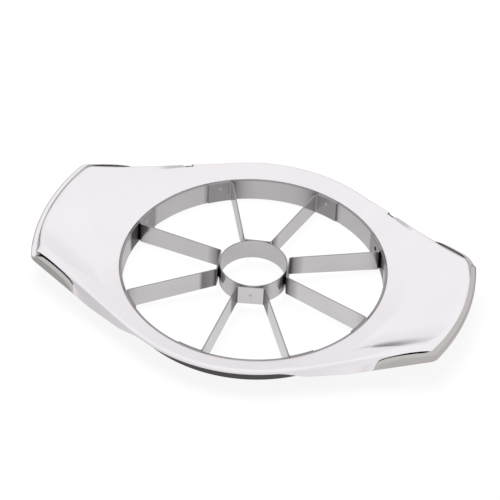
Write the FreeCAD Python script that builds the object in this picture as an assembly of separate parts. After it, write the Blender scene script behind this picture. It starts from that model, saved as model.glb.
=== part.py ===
import FreeCAD, Part
import math
import os

# Hand-held apple slicer: a pressed steel body with two raised handles, and an
# eight-blade cutter set in its round opening. Millimetres, +Z up.
# The origin is the centre of the opening, on the plane that the cutter stands on.
# +X runs along the handles, and the far side is +Y.

os.makedirs("parts", exist_ok=True)
V = FreeCAD.Vector
UP = V(0, 0, 1)

# Opening and its collar
opening_radius = 50.0
lip_height = 9.6          # from the table to the inner edge of the dished rim
sheet = 0.8               # gauge of the body's sheet
collar_foot = 0.4         # the collar stops this far above the table

# Dished rim round the opening
dish_slope = 0.2714        # climb of the dished rim, per mm outwards
ring_flat = 1.0            # rolled edge that the ring keeps outside the dished rim
ring_width = 8.0           # from the opening to the body's outer edge beside it
ring_edge_rise = 0.4      # lower edge of the ring's roll, above the lip
ring_roll = 1.3           # radius of its rolled edge

# Handles, in plan
end_radius = 83.0         # both ends are arcs about the opening's centre
flank_slope = 0.476       # how fast each long side closes towards the end
corner_round = 2.5
rim_width = 2.0            # from the outline to the shell's edge
fit_gap = 0.1             # clearance between the shell's edge and that rim
shoulder_roll = 3.0       # radius of the shell's rounded shoulder on the handles
flare = 1.9               # how far the skirt stands out below the shoulder
wing_start = 28.0         # the shoulder and the flare grow from here
wing_full = 66.0          # and reach full size here

# Handles, in height, all from the lip
ridge_rise = 5.9          # climb of the raised edges from the ring to the end
ridge_start = 30.0        # the climb starts here
trough_rise = 4.4         # climb of the middle of the wing
trough_start = 55.0
trough_share = 0.596       # slope down to the middle, as a share of the end's half-width
trough_skew = 0.65         # below 1, that slope is steepest near the raised edge
trough_run_start = 34.0
trough_run_full = 54.0
skirt_drop = 2.0          # the skirt's lower edge, below the lip
skirt_start = 26.0        # the lower edge starts to fall here
skirt_full = 38.0
tray_lift = 4.3           # climb of the lower edge from the skirt to the end
tray_lift_start = 50.0
end_bevel = 1.0           # fall of the shell along its end edge, per mm outwards

# Trays that close the handles from below
arch_x = 57.7             # the skirt stops here and the tray shows
arch_round = 2.5
arch_edge = (2.3, 4.7, 5.0)   # height of the shell's edge at the arch, middle and end
arch_middle = 68.0
rim_wall = 1.4             # thickness of the tray's rim
rim_roll = 1.2             # its rounded outer top
groove_depth = 0.8         # open gap between the rim and the shell's edge
ledge = 1.0               # width of the step that the shell's edge stands on
tray_inner = 44.0         # the tray's floor reaches in to here beside the collar
tray_skirt_gap = 0.6      # clearance between the tray's floor and the skirt

# Relief notches in the far skirt, where it leaves the ring
notch_x = 41.5
notch_width = 2.2
notch_depth = 1.6

# Cutter
band_wall = 0.9
band_top_drop = 0.5       # the band's top edge, below the lip
strip_wall = 0.5
strip_drop = 0.6          # blade edge below the lip at the band
strip_foot_gap = 0.2      # the blade's lower edge stops this far above the table
strip_core_rise = 1.35    # blade edge above the lip at the core
strip_core_height = 8.05
bend_radius = 0.8         # inside radius of the bends in a strip
tab_length = 9.5          # end of each blade, bent along the band
core_bore_radius = 12.3
core_wall = 0.5
core_height = 8.4
core_rise = 1.7           # top of the core above the lip
# Each strip is one U round a flat web: heading of the web, angle between the
# corners of the web, heading at the band, angle between the blades at the band
strips = {
    "blade_strip_right": (11.5, 45.0, 9.0, 44.0),
    "blade_strip_far": (101.5, 43.0, 98.5, 39.0),
    "blade_strip_left": (190.5, 44.5, 192.5, 44.8),
    "blade_strip_near": (284.3, 43.0, 285.0, 38.0),
}
weld_radius = 0.7
weld_bite = 0.3           # depth of a weld in the second sheet
weld_drop = 3.2           # weld on a tab, below the lip
band_weld_drop = 5.5      # welds that hold the band in the collar, below the lip
band_weld_angles = (4.0, 56.0, 98.0, 143.0, 192.0, 240.0, 285.0, 325.0)

# Worked-out sizes
band_outer = opening_radius
band_inner = band_outer - band_wall
tab_outer = band_inner
tab_inner = tab_outer - strip_wall
core_outer = core_bore_radius + core_wall
web_outer = core_outer + strip_wall
collar_outer = opening_radius + sheet
ring_radius = opening_radius + ring_width
dish_radius = ring_radius - ring_flat
dish_rise = dish_slope * (dish_radius - opening_radius)
reach = end_radius + corner_round
tall = 4 * lip_height
flank_stretch = math.sqrt(1 + flank_slope ** 2)
flank_top = ring_radius * flank_stretch        # the long sides leave the ring as tangents
tangent_x = ring_radius * flank_slope / flank_stretch
trough_run = trough_share * (flank_top - flank_slope * reach)


def clamp(value):
    return min(1.0, max(0.0, value))


def ease(value):
    t = clamp(value)
    return t * t * (3 - 2 * t)


def polar(radius, angle, z=0.0):
    a = math.radians(angle)
    return V(radius * math.cos(a), radius * math.sin(a), z)


def half_width(x):
    """Half the body's width at its lower edge: the ring, then a tangent to it."""
    if abs(x) < tangent_x:
        return math.sqrt(ring_radius ** 2 - x * x)
    return flank_top - flank_slope * abs(x)


def ridge_height(x):
    t = max(0.0, abs(x) - ridge_start) / (end_radius - ridge_start)
    return lip_height + dish_rise + ridge_rise * t ** 1.1


def trough_height(x):
    t = max(0.0, abs(x) - trough_start) / (end_radius - trough_start)
    return lip_height + dish_rise + trough_rise * t ** 1.15


def lower_edge(x):
    """Height of the body's lower edge, along the skirts and then the trays."""
    drop = ease((abs(x) - skirt_start) / (skirt_full - skirt_start))
    base = ring_edge_rise - (ring_edge_rise + skirt_drop) * drop
    t = max(0.0, abs(x) - tray_lift_start) / (end_radius - tray_lift_start)
    return lip_height + base + tray_lift * t


def section(x, inset, foot_drop):
    """Cross-section of the body at x, drawn inset from its outer skin."""
    blend = ease((abs(x) - wing_start) / (wing_full - wing_start))
    roll = ring_roll + (shoulder_roll - ring_roll) * blend
    lean = flare * blend
    ridge_y = half_width(x) - lean - roll
    ridge_z = ridge_height(x)
    middle_z = trough_height(x)
    widen = clamp((abs(x) - trough_run_start) / (trough_run_full - trough_run_start))
    run = ring_roll + (trough_run - ring_roll) * widen ** 1.5
    small = roll - inset
    shoulder_z = ridge_z - roll
    stand = shoulder_z - lower_edge(x)
    foot = V(x, ridge_y + small + lean * (1 + foot_drop / stand), lower_edge(x) - foot_drop)
    shoulder = V(x, ridge_y + small, shoulder_z)
    bend = V(x, ridge_y + small * math.sqrt(0.5), shoulder_z + small * math.sqrt(0.5))
    crest = V(x, ridge_y, ridge_z - inset)
    valley = V(x, ridge_y - run, middle_z - inset)
    slope = [crest]
    for share in (0.2, 0.4, 0.6, 0.8):
        fall = (1 - math.cos(math.pi * share ** trough_skew)) / 2
        slope.append(V(x, ridge_y - run * share, crest.z + (valley.z - crest.z) * fall))
    slope.append(valley)
    edges = [Part.LineSegment(foot, shoulder).toShape(), Part.Arc(shoulder, bend, crest).toShape()]
    edges.append(through(slope))
    edges.append(Part.LineSegment(valley, across(valley)).toShape())
    edges.append(through([across(point) for point in reversed(slope)]))
    edges.append(Part.Arc(across(crest), across(bend), across(shoulder)).toShape())
    edges.append(Part.LineSegment(across(shoulder), across(foot)).toShape())
    edges.append(Part.LineSegment(across(foot), foot).toShape())
    return Part.Wire(edges)


def through(points):
    """A smooth edge through points, evenly paced so that all sections match."""
    curve = Part.BSplineCurve()
    pace = [n / (len(points) - 1) for n in range(len(points))]
    curve.interpolate(Points=points, Parameters=pace)
    return curve.toShape()


def across(point):
    return V(point.x, -point.y, point.z)


def body_loft(inset, foot_drop):
    stations = [reach * n / 12 for n in range(-12, 13)]
    wires = [section(x, inset, foot_drop) for x in stations]
    return Part.makeLoft(wires, True, False)


def above_dish(drop):
    """Everything above the dished rim, as a turned solid."""
    lift = lip_height - drop
    outer = reach + ring_radius
    top = lift + (outer - opening_radius) * dish_slope + tall
    inner_z = lift - opening_radius * dish_slope
    outer_z = lift + (outer - opening_radius) * dish_slope
    corners = [V(0, 0, inner_z), V(outer, 0, outer_z), V(outer, 0, top), V(0, 0, top)]
    face = Part.Face(Part.makePolygon(corners + corners[:1]))
    return face.revolve(V(0, 0, 0), UP, 360)


def ring(inner, outer, bottom, top):
    tube = Part.makeCylinder(outer, top - bottom, V(0, 0, bottom))
    return tube.cut(Part.makeCylinder(inner, top - bottom, V(0, 0, bottom)))


def handle_plan(side, inset, start):
    """Plan of one handle as a tall prism, inset from the body's outline."""
    radius = end_radius - inset
    top = flank_top - inset * flank_stretch

    def flank(x):
        return top - flank_slope * x

    a = 1 + flank_slope ** 2
    b = -2 * flank_slope * top
    c = top ** 2 - radius ** 2
    corner_x = (-b + math.sqrt(b * b - 4 * a * c)) / (2 * a)
    corner = V(corner_x, flank(corner_x), 0)
    near = across(corner)
    edges = [
        Part.LineSegment(V(start, -flank(start), 0), near).toShape(),
        Part.Arc(near, V(radius, 0, 0), corner).toShape(),
        Part.LineSegment(corner, V(start, flank(start), 0)).toShape(),
        Part.LineSegment(V(start, flank(start), 0), V(start, -flank(start), 0)).toShape(),
    ]
    prism = Part.Face(Part.Wire(edges)).extrude(V(0, 0, tall))
    corners = [e for e in prism.Edges if is_upright_at(e, corner_x)]
    prism = prism.makeFillet(max(corner_round - inset, fit_gap), corners)
    if side < 0:
        prism = prism.mirror(V(0, 0, 0), V(1, 0, 0))
    return prism


def is_upright_at(edge, x):
    box = edge.BoundBox
    return box.ZLength > tall / 2 and abs(box.XMin - x) < fit_gap


def elevation_prism(side, points_below, points_above):
    """Solid between two side-view curves, as wide as the body."""
    lower = Part.BSplineCurve()
    lower.interpolate(points_below)
    upper = Part.BSplineCurve()
    upper.interpolate(points_above)
    edges = [
        lower.toShape(),
        Part.LineSegment(points_below[-1], points_above[-1]).toShape(),
        upper.toShape(),
        Part.LineSegment(points_above[0], points_below[0]).toShape(),
    ]
    face = Part.Face(Part.Wire(Part.__sortEdges__(edges)))
    solid = face.extrude(V(0, 2 * reach, 0))
    if side < 0:
        solid = solid.mirror(V(0, 0, 0), V(1, 0, 0))
    return solid


def side_curve(height, start, lift=0.0, count=7):
    """Points of a side-view curve from start to past the end of the handle."""
    xs = [start + (reach - start) * n / (count - 1) for n in range(count)]
    return [V(x, -reach, height(x) + lift) for x in xs]


def shell_edge(x):
    """Height of the shell's cut edge along a handle, a parabola through three points."""
    x0, x1, x2 = arch_x, arch_middle, end_radius
    h0, h1, h2 = arch_edge
    a = h0 * (x - x1) * (x - x2) / ((x0 - x1) * (x0 - x2))
    b = h1 * (x - x0) * (x - x2) / ((x1 - x0) * (x1 - x2))
    c = h2 * (x - x0) * (x - x1) / ((x2 - x0) * (x2 - x1))
    return lip_height + a + b + c


def below_ground(x):
    return -lip_height


def well_above(x):
    return tall - lip_height


def beyond_end(drop):
    """Everything past the sloping end edge of the shell, as a turned solid."""
    edge_radius = end_radius - rim_width - fit_gap
    edge_z = shell_edge(end_radius) - drop
    inner = edge_radius - tall / end_bevel
    corners = [V(edge_radius, 0, edge_z), V(reach, 0, edge_z), V(reach, 0, edge_z + tall)]
    corners.append(V(inner, 0, edge_z + tall))
    face = Part.Face(Part.makePolygon(corners + corners[:1]))
    return face.revolve(V(0, 0, 0), UP, 360)


def make_top_shell():
    outer = body_loft(0.0, lip_height / 2)
    inner = body_loft(sheet, lip_height)
    outer = outer.cut(above_dish(0.0))
    inner = inner.cut(above_dish(sheet * math.sqrt(1 + dish_slope ** 2)))
    outer = outer.cut(beyond_end(0.0))
    inner = inner.cut(beyond_end(sheet * math.sqrt(1 + end_bevel ** 2)))
    collar = Part.makeCylinder(collar_outer, lip_height - collar_foot, V(0, 0, collar_foot))
    inner = inner.cut(Part.makeCylinder(collar_outer, tall))
    shell = outer.fuse(collar).cut(inner)
    shell = shell.cut(Part.makeCylinder(opening_radius, tall))
    for side in (-1, 1):
        shell = trim_skirt(shell, side)
        shell = trim_handle(shell, side)
        shell = cut_notch(shell, side)
    return shell.common(Part.makeCylinder(end_radius - rim_width - fit_gap, tall))


def trim_skirt(shell, side):
    """Cuts the skirt off along its lower edge, and leaves the dished rim alone."""
    below = elevation_prism(side, side_curve(below_ground, 0, count=3), side_curve(lower_edge, 0, count=25))
    return shell.cut(below.cut(Part.makeCylinder(dish_radius - sheet, tall)))


def under_arch(side, gap=0.0):
    """Everything below the arch in the skirt, with its rounded corner."""
    below = elevation_prism(side, side_curve(below_ground, arch_x), side_curve(shell_edge, arch_x))
    below = below.makeFillet(arch_round, [e for e in below.Edges if is_arch_corner(e)])
    below.translate(V(side * gap, 0, -gap))
    return below


def trim_handle(shell, side):
    """Cuts the arches in the skirt and the edge that the tray's rim surrounds."""
    below = under_arch(side).cut(handle_plan(side, rim_width + 2 * ledge, dish_radius / 2))
    return shell.cut(below)


def is_arch_corner(edge):
    box = edge.BoundBox
    return (box.YLength > reach and abs(abs(box.XMin) - arch_x) < fit_gap
            and box.ZMin > lip_height)


def cut_notch(shell, side):
    outside = half_width(notch_x) - notch_depth
    height = ridge_height(notch_x) - lower_edge(notch_x)
    corner = V(side * notch_x - notch_width / 2, outside, lower_edge(notch_x) - sheet)
    return shell.cut(Part.makeBox(notch_width, notch_depth * 2, height, corner))


def make_tray(side):
    """Rim and floor in one piece, so that both share one underside."""
    rim_start = arch_x + fit_gap
    floor_plan = handle_plan(side, sheet + tray_skirt_gap, tray_inner - ledge)
    floor_plan = floor_plan.cut(Part.makeCylinder(collar_outer, tall))
    plan = handle_plan(side, 0.0, rim_start).fuse(floor_plan).removeSplitter()
    blank = elevation_prism(side, side_curve(lower_edge, tray_inner - ledge),
                            side_curve(well_above, tray_inner - ledge))
    hollow = elevation_prism(side, side_curve(lower_edge, tray_inner - ledge, sheet),
                             side_curve(well_above, tray_inner - ledge))
    floor_end = Part.makeBox(rim_start, 2 * reach, tall, V(0, -reach, 0))
    if side < 0:
        floor_end = floor_end.mirror(V(0, 0, 0), V(1, 0, 0))
    tray = blank.common(plan).cut(hollow.common(floor_end))
    tray = tray.cut(above_edge(side, -2 * fit_gap))
    tray = tray.makeFillet(rim_roll, [e for e in tray.Edges if is_rim_top(e)])
    within = handle_plan(side, rim_width, dish_radius / 2)
    skirt_corner = elevation_prism(side, side_curve(below_ground, rim_start), side_curve(well_above, rim_start))
    tray = tray.cut(skirt_corner.cut(under_arch(side, fit_gap)).cut(within))
    tray = tray.cut(hollow.common(within).cut(under_arch(side)))
    groove = handle_plan(side, rim_wall, dish_radius / 2).cut(within)
    tray = tray.cut(groove.common(above_edge(side, -groove_depth)))
    return tray.cut(hollow.common(handle_plan(side, rim_width + ledge, dish_radius / 2)))


def above_edge(side, lift):
    """Everything above the line of the shell's edge along a handle."""
    start = arch_x - ledge
    return elevation_prism(side, side_curve(shell_edge, start, lift), side_curve(well_above, start))


def is_rim_top(edge):
    """The outer top edges of a tray's rim, along the flanks and round the end."""
    box = edge.BoundBox
    if box.ZMin < shell_edge(arch_x) - 3 * fit_gap or box.YLength > 2 * half_width(arch_x) - 1:
        return False
    return box.ZMax > shell_edge(arch_x) and max(abs(box.XMin), abs(box.XMax)) > arch_x + 1


def cutter_envelope():
    """The space that the strips fill: flat at the core and the band, sloping between."""
    top_in = lip_height + strip_core_rise
    top_out = lip_height - strip_drop
    web_corner = web_outer / math.cos(math.radians(max(s[1] for s in strips.values()) / 2))
    profile = [
        V(0, 0, top_in - strip_core_height), V(web_corner, 0, top_in - strip_core_height),
        V(tab_inner, 0, strip_foot_gap), V(collar_outer, 0, strip_foot_gap),
        V(collar_outer, 0, top_out), V(tab_inner, 0, top_out),
        V(web_corner, 0, top_in), V(0, 0, top_in),
    ]
    return Part.Face(Part.makePolygon(profile + profile[:1])).revolve(V(0, 0, 0), UP, 360)


def meet(point, direction, normal, distance):
    """Where a line meets the line at that distance along a unit normal."""
    step = (distance - point.dot(normal)) / direction.dot(normal)
    return point + direction * step


def reach_circle(point, direction, radius):
    """Where a line leaves a circle about the opening's centre."""
    along = point.dot(direction)
    return point + direction * (-along + math.sqrt(along ** 2 - point.dot(point) + radius ** 2))


def make_strip(web_heading, web_spread, band_heading, band_spread):
    """One strip: tab, blade, flat web against the core, blade and tab."""
    normal = polar(1, web_heading)
    tab_turn = math.degrees(tab_length / tab_outer)
    inside = []
    outside = []
    tips = []
    for way in (-1, 1):
        root = band_heading + way * band_spread / 2
        web_corner = (core_outer + strip_wall / 2) / math.cos(math.radians(web_spread / 2))
        start = polar(web_corner, web_heading + way * web_spread / 2)
        end = polar((tab_inner + tab_outer) / 2, root)
        along = (end - start).normalize()
        side = along.cross(UP) * (way * strip_wall / 2)
        corner_in = meet(start + side, along, normal, web_outer)
        corner_out = meet(start - side, along, normal, core_outer)
        inside.append((corner_in, reach_circle(corner_in, along, tab_outer)))
        outside.append((corner_out, reach_circle(corner_out, along, tab_inner)))
        tips.append(root + way * tab_turn)
    edges = []
    for n, way in enumerate((-1, 1)):
        middle = tips[n] - way * tab_turn / 2
        tip_in = polar(tab_inner, tips[n])
        tip_out = polar(tab_outer, tips[n])
        edges.append(Part.Arc(outside[n][1], polar(tab_inner, middle), tip_in).toShape())
        edges.append(Part.LineSegment(tip_in, tip_out).toShape())
        edges.append(Part.Arc(tip_out, polar(tab_outer, middle), inside[n][1]).toShape())
        edges.append(Part.LineSegment(inside[n][1], inside[n][0]).toShape())
        edges.append(Part.LineSegment(outside[n][1], outside[n][0]).toShape())
    edges.append(Part.LineSegment(inside[0][0], inside[1][0]).toShape())
    edges.append(Part.LineSegment(outside[0][0], outside[1][0]).toShape())
    plan = Part.Face(Part.Wire(Part.__sortEdges__(edges)))
    prism = plan.extrude(V(0, 0, tall))
    tight = [inside[n][0] for n in (0, 1)] + [outside[n][1] for n in (0, 1)]
    wide = [outside[n][0] for n in (0, 1)] + [inside[n][1] for n in (0, 1)]
    prism = prism.makeFillet(bend_radius, upright_edges(prism, tight))
    prism = prism.makeFillet(bend_radius + strip_wall, upright_edges(prism, wide))
    return prism.common(cutter_envelope())


def upright_edges(prism, places):
    found = []
    for edge in prism.Edges:
        foot = edge.Vertexes[0].Point
        for place in places:
            if edge.BoundBox.ZLength > tall / 2 and math.hypot(foot.x - place.x, foot.y - place.y) < 0.01:
                found.append(edge)
    return found


def radial_pin(radius_in, radius_out, angle, z):
    direction = polar(1, angle)
    return Part.makeCylinder(weld_radius, radius_out - radius_in, polar(radius_in, angle, z), direction)


def tab_weld_angles():
    turn = math.degrees(tab_length / tab_outer) / 2
    angles = []
    for _, _, band_heading, band_spread in strips.values():
        for way in (-1, 1):
            angles.append(band_heading + way * (band_spread / 2 + turn))
    return angles


def save(shape, name):
    shape.exportStep("parts/" + name + ".step")
    print(name, "solids", len(shape.Solids), "valid", shape.isValid(), "volume", round(shape.Volume, 1))


weld_z = lip_height - weld_drop
core_weld_z = lip_height + core_rise - core_height / 2
tab_welds = [radial_pin(tab_inner, tab_outer + weld_bite, a, weld_z) for a in tab_weld_angles()]
core_welds = [radial_pin(core_outer - weld_bite, web_outer, s[0], core_weld_z) for s in strips.values()]
tab_welds = [w.common(ring(tab_inner, tab_outer + weld_bite, 0, tall)) for w in tab_welds]
band_welds = [radial_pin(band_outer - weld_bite, band_outer + weld_bite, a, lip_height - band_weld_drop)
              for a in band_weld_angles]
weld_shell = ring(band_outer - weld_bite, band_outer + weld_bite, 0, tall)
band_welds = [w.common(weld_shell) for w in band_welds]
all_band_welds = Part.makeCompound(band_welds)
all_tab_welds = Part.makeCompound(tab_welds)
all_core_welds = Part.makeCompound(core_welds)

save(make_top_shell().cut(all_band_welds), "top_shell")
save(make_tray(-1), "left_handle_tray")
save(make_tray(1), "right_handle_tray")
blade_band = ring(band_inner, band_outer, 0, lip_height - band_top_drop)
save(blade_band.cut(all_tab_welds).cut(all_band_welds), "blade_band")
core_bottom = lip_height + core_rise - core_height
core_ring = ring(core_bore_radius, core_outer, core_bottom, core_bottom + core_height)
save(core_ring.cut(all_core_welds), "core_ring")
for name, headings in strips.items():
    save(make_strip(*headings).cut(all_tab_welds).cut(all_core_welds), name)
save(all_band_welds, "band_spot_welds")
save(all_tab_welds, "tab_spot_welds")
save(all_core_welds, "core_spot_welds")
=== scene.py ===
# %% [markdown]
# An apple slicer with two side handles
#
# The real tool is a pressed and polished steel body with a round opening, a thin
# steel cutter set in that opening, and a shallow tray that closes each handle from
# below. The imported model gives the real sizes. This lesson dresses it: it makes the
# smooth polished skins that a mirror finish needs, and gives every piece its metal.

# %% Load the fixed frame
import math

import bmesh
import bpy
import numpy as np
from mathutils import Matrix, Vector


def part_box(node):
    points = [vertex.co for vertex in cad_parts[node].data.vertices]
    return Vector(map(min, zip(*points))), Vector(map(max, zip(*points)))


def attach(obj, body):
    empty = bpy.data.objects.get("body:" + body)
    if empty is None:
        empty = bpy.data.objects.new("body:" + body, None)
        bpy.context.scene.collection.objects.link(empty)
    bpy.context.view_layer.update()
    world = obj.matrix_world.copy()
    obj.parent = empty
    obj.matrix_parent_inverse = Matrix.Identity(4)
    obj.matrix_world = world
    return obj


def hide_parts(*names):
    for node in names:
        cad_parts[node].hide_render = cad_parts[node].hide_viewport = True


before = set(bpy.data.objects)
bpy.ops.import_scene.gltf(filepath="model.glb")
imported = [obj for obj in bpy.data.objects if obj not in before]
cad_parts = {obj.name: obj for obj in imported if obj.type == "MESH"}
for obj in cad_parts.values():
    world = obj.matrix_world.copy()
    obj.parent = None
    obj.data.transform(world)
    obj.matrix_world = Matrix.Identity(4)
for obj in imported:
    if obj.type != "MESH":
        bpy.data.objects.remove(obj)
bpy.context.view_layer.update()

# %% [markdown]
# The main sizes
#
# A polished surface shows every kink, so the body is drawn again here from the same
# rules as the real pressing, only much finer. The rules need the tool's own sizes.
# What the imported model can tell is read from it, and the rest is named here in mm.

# %% Sizes of the body
MM = 0.001
band_low, band_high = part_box("blade_band")
core_low, core_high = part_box("core_ring")

opening = band_high.x / MM                             # radius of the round opening
core_radius = core_high.x / MM
end_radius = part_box("right_handle_tray")[1].x / MM     # both handles end on this arc
ring_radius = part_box("top_shell")[1].y / MM            # outer edge beside the opening
lip = band_high.z / MM + 0.5          # height of the opening's lip above the table
sheet = 0.8                           # gauge of the pressed steel
dish_width, dish_rise = 7.0, 1.9      # the cone round the opening
flank_slope = 0.476                   # the long sides close by this much per mm
arch_x = 57.7                         # here the skirt ends and the tray shows
corner_x = 78.4                       # here the flanks meet the end arcs
end_edge = end_radius - 2.1           # the shell's own edge, inside the tray's rim
corner_round, edge_round, crease_round = 1.6, 0.8, 0.12    # widths of soft changeovers
print("opening", round(2 * opening, 1), "mm, length", round(2 * end_radius, 1), "mm, lip at", round(lip, 2))

# %% Heights along the handles
stretch = math.sqrt(1 + flank_slope ** 2)
flank_top = ring_radius * stretch
tangent_x = ring_radius * flank_slope / stretch
edge_points = ((arch_x, 2.3), (68.0, 4.7), (end_radius, 5.0))    # x, and height above the lip


def ease(value):
    t = np.clip(value, 0, 1)
    return t * t * (3 - 2 * t)


def climb(x, start, rise, power):
    """Nothing up to start, then growing to the full rise at the end of the handle."""
    return rise * (np.maximum(0, np.abs(x) - start) / (end_radius - start)) ** power


def ridge_height(x):
    return lip + dish_rise + climb(x, start=30.0, rise=5.9, power=1.1)


def trough_height(x):
    return lip + dish_rise + climb(x, start=55.0, rise=4.4, power=1.15)


def lower_edge(x):
    """The skirt's foot: it drops beyond the ring and climbs toward the handles' ends."""
    drop = 2.4 * ease((np.abs(x) - 26.0) / 12.0)
    return lip + 0.4 - drop + climb(x, start=50.0, rise=4.3, power=1.0)


def shell_edge(x):
    """Height of the shell's cut edge inside the tray's rim: a parabola by three points."""
    height = lip
    for place, rise in edge_points:
        parts = [(np.abs(x) - other) / (place - other) for other, _ in edge_points if other != place]
        height = height + rise * parts[0] * parts[1]
    return height


for place in (0.0, 50.0, 83.0):
    heights = [round(float(rule(place)), 2) for rule in (ridge_height, lower_edge)]
    print("at x", place, "ridge and edge are at", heights)

# %% [markdown]
# The outline seen from above
#
# Beside the opening the outline is the ring's circle. Two straight flanks leave it as
# tangents, and an arc closes each handle. Working in rays from the centre keeps all
# of this in closed form: each ray meets the ring, a flank or the end arc.

# %% Where a ray meets the outline
def soft_min(a, b, width):
    """The smaller of two values, with a rounded changeover of that width."""
    h = np.clip(0.5 + 0.5 * (b - a) / width, 0, 1)
    return b * (1 - h) + a * h - width * h * (1 - h)


def flank_ray(angle, inset):
    """Distance to the long side, moved in by inset, measured across the handles."""
    c, s = np.abs(np.cos(angle)), np.abs(np.sin(angle))
    straight = (flank_top - inset) / (s + flank_slope * c)
    curved = -inset * s + np.sqrt(np.maximum(0, ring_radius ** 2 - (inset * c) ** 2))
    return np.where(straight * c > tangent_x, straight, curved)


def outline_ray(angle, inset):
    """The whole outline moved in by inset, with its corners rounded."""
    return soft_min(flank_ray(angle, inset * stretch), end_radius - inset + 0 * angle, corner_round)


print("outline at the corner:", round(float(outline_ray(np.radians(19.4), 0.0)), 2), "mm from the centre")

# %% [markdown]
# Meshes from rows
#
# Every pressed or turned skin here is a grid: rows run round the opening, and each
# row is a list of points. One helper joins neighbouring rows with four-sided faces.
# Another writes a number on each point, which the metals read later.

# %% A skin from a grid of points
def skin(name, grid, loop=True):
    """A closed skin from grid[row, column] in mm, with columns round the axis."""
    rows, columns = grid.shape[:2]
    points = (grid.reshape(-1, 3) * MM).tolist()
    faces = []
    for i in range(rows):
        for j in range(columns if loop else columns - 1):
            a, b = i * columns, ((i + 1) % rows) * columns
            k = (j + 1) % columns
            faces.append((a + j, a + k, b + k, b + j))
    mesh = bpy.data.meshes.new(name)
    mesh.from_pydata(points, [], faces)
    mesh.polygons.foreach_set("use_smooth", [True] * len(faces))
    mesh.update()
    piece = bpy.data.objects.new(name, mesh)
    bpy.context.scene.collection.objects.link(piece)
    return piece


def mark(piece, label, shares):
    """Writes one share, 0 to 1, on each point of a piece."""
    layer = piece.data.attributes.new(label, "FLOAT", "POINT")
    layer.data.foreach_set("value", np.clip(np.ravel(shares), 0, 1))


class Rows:
    """Points in mm on a fan of rays from the centre, one row after the other."""

    def __init__(self, angles):
        self.angles, self.c, self.s = angles, np.cos(angles), np.sin(angles)
        self.rows = []

    def add(self, radius, height):
        place = [radius * self.c, radius * self.s, height + 0 * self.angles]
        self.rows.append(np.stack(place, axis=-1))


print("helpers ready")

# %% [markdown]
# The body shell
#
# On the real tool this is one pressing: a collar that holds the cutter, a dished rim
# round the opening, and two wings that rise to the handles with rounded shoulders.
# Each ray is sampled from the collar outwards, close together where the metal turns
# sharply. A second set of rows, one gauge further in, comes back along the inside.
# A Solidify modifier would do that too, but it tears where the arches begin.

# %% Sections of the wings
wing_x, wing_run = 28.0, 38.0         # along here the ring's section becomes the wing's
ring_roll, wing_roll = 1.3, 3.0       # radius of the rolled shoulder
wing_lean = 1.9                       # how far the skirt leans in, from its foot to the shoulder
trough_x, trough_run = 34.0, 20.0     # along here the trough opens
thin_slope, wide_slope = 1.3, 14.0    # from the crest down into the trough
trough_skew = 0.65                    # below 1, that slope is steepest near its top


def wing(x):
    return ease((np.abs(x) - wing_x) / wing_run)


def shoulder_roll(x):
    return ring_roll + (wing_roll - ring_roll) * wing(x)


def lean(x):
    return wing_lean * wing(x)


def crest_inset(x):
    return lean(x) + shoulder_roll(x)


def half_width(x):
    ring = np.sqrt(np.maximum(0, ring_radius ** 2 - x * x))
    return np.where(np.abs(x) > tangent_x, flank_top - flank_slope * np.abs(x), ring)


def quarter_round(radius, across):
    """Height of a rounding over its own middle, at a distance across from there."""
    return np.sqrt(np.maximum(0, radius ** 2 - np.clip(across, 0, radius) ** 2))


def top_height(x, y):
    """Height of the polished top at a point in plan."""
    inset = half_width(x) - np.abs(y)
    roll, crest = shoulder_roll(x), crest_inset(x)
    ridge, trough = ridge_height(x), trough_height(x)
    opened = np.clip((np.abs(x) - trough_x) / trough_run, 0, 1) ** 1.5
    share = np.clip((inset - crest) / (thin_slope + (wide_slope - thin_slope) * opened), 0, 1)
    slope = ridge + (trough - ridge) * (1 - np.cos(np.pi * share ** trough_skew)) / 2
    turned = ridge - roll + quarter_round(roll, crest - inset)
    radius = np.hypot(x, y)
    cone = lip + dish_rise * (radius - opening) / dish_width
    bevel = shell_edge(end_radius) + end_edge - radius
    inner = soft_min(np.where(inset < crest, turned, slope), cone, crease_round)
    return soft_min(inner, bevel, corner_round)


print("top at the middle of a handle:", round(float(top_height(np.array(70.0), np.array(0.0))), 2))

# %% Arches and relief notches
arch_run = 2.3                        # how soon the arch eases into the shell's edge
notch_x, notch_half = 41.5, 1.6       # middle and half width of the notches
notch_depth, notch_rise = 0.5, 3.0    # how far they cut in, and up from the foot


def past_arch(x):
    """1 where the skirt has been cut away and the tray's rim shows."""
    return np.clip((np.abs(x) - arch_x + 0.03) / 0.06, 0, 1)


def arch_line(x):
    """Lower edge of the shell past the arch: steep at its foot, then easing off."""
    past = np.maximum(0, np.abs(x) - arch_x) / arch_run
    drop = shell_edge(arch_x) - lower_edge(arch_x)
    return shell_edge(x) - drop * np.exp(-past ** 1.3)


def cut_inset(x):
    """How far in from the outline the arch's edge lies on the skirt or the shoulder."""
    roll, height = shoulder_roll(x), arch_line(x)
    bend = ridge_height(x) - roll
    on_skirt = lean(x) * np.clip((height - lower_edge(x)) / (bend - lower_edge(x)), 0, 1)
    on_roll = crest_inset(x) - quarter_round(roll, height - bend)
    return past_arch(x) * np.where(height < bend, on_skirt, on_roll)


def skirt_inset(x):
    return np.maximum(lean(x), cut_inset(x))


def notch(x, y):
    """1 inside the relief notch that is cut in each far edge."""
    return np.clip((notch_half + 0.1 - np.abs(np.abs(x) - notch_x)) / 0.2, 0, 1) * (y > 0)


print("arch foot at", round(float(arch_line(arch_x)), 2), "mm")


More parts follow.
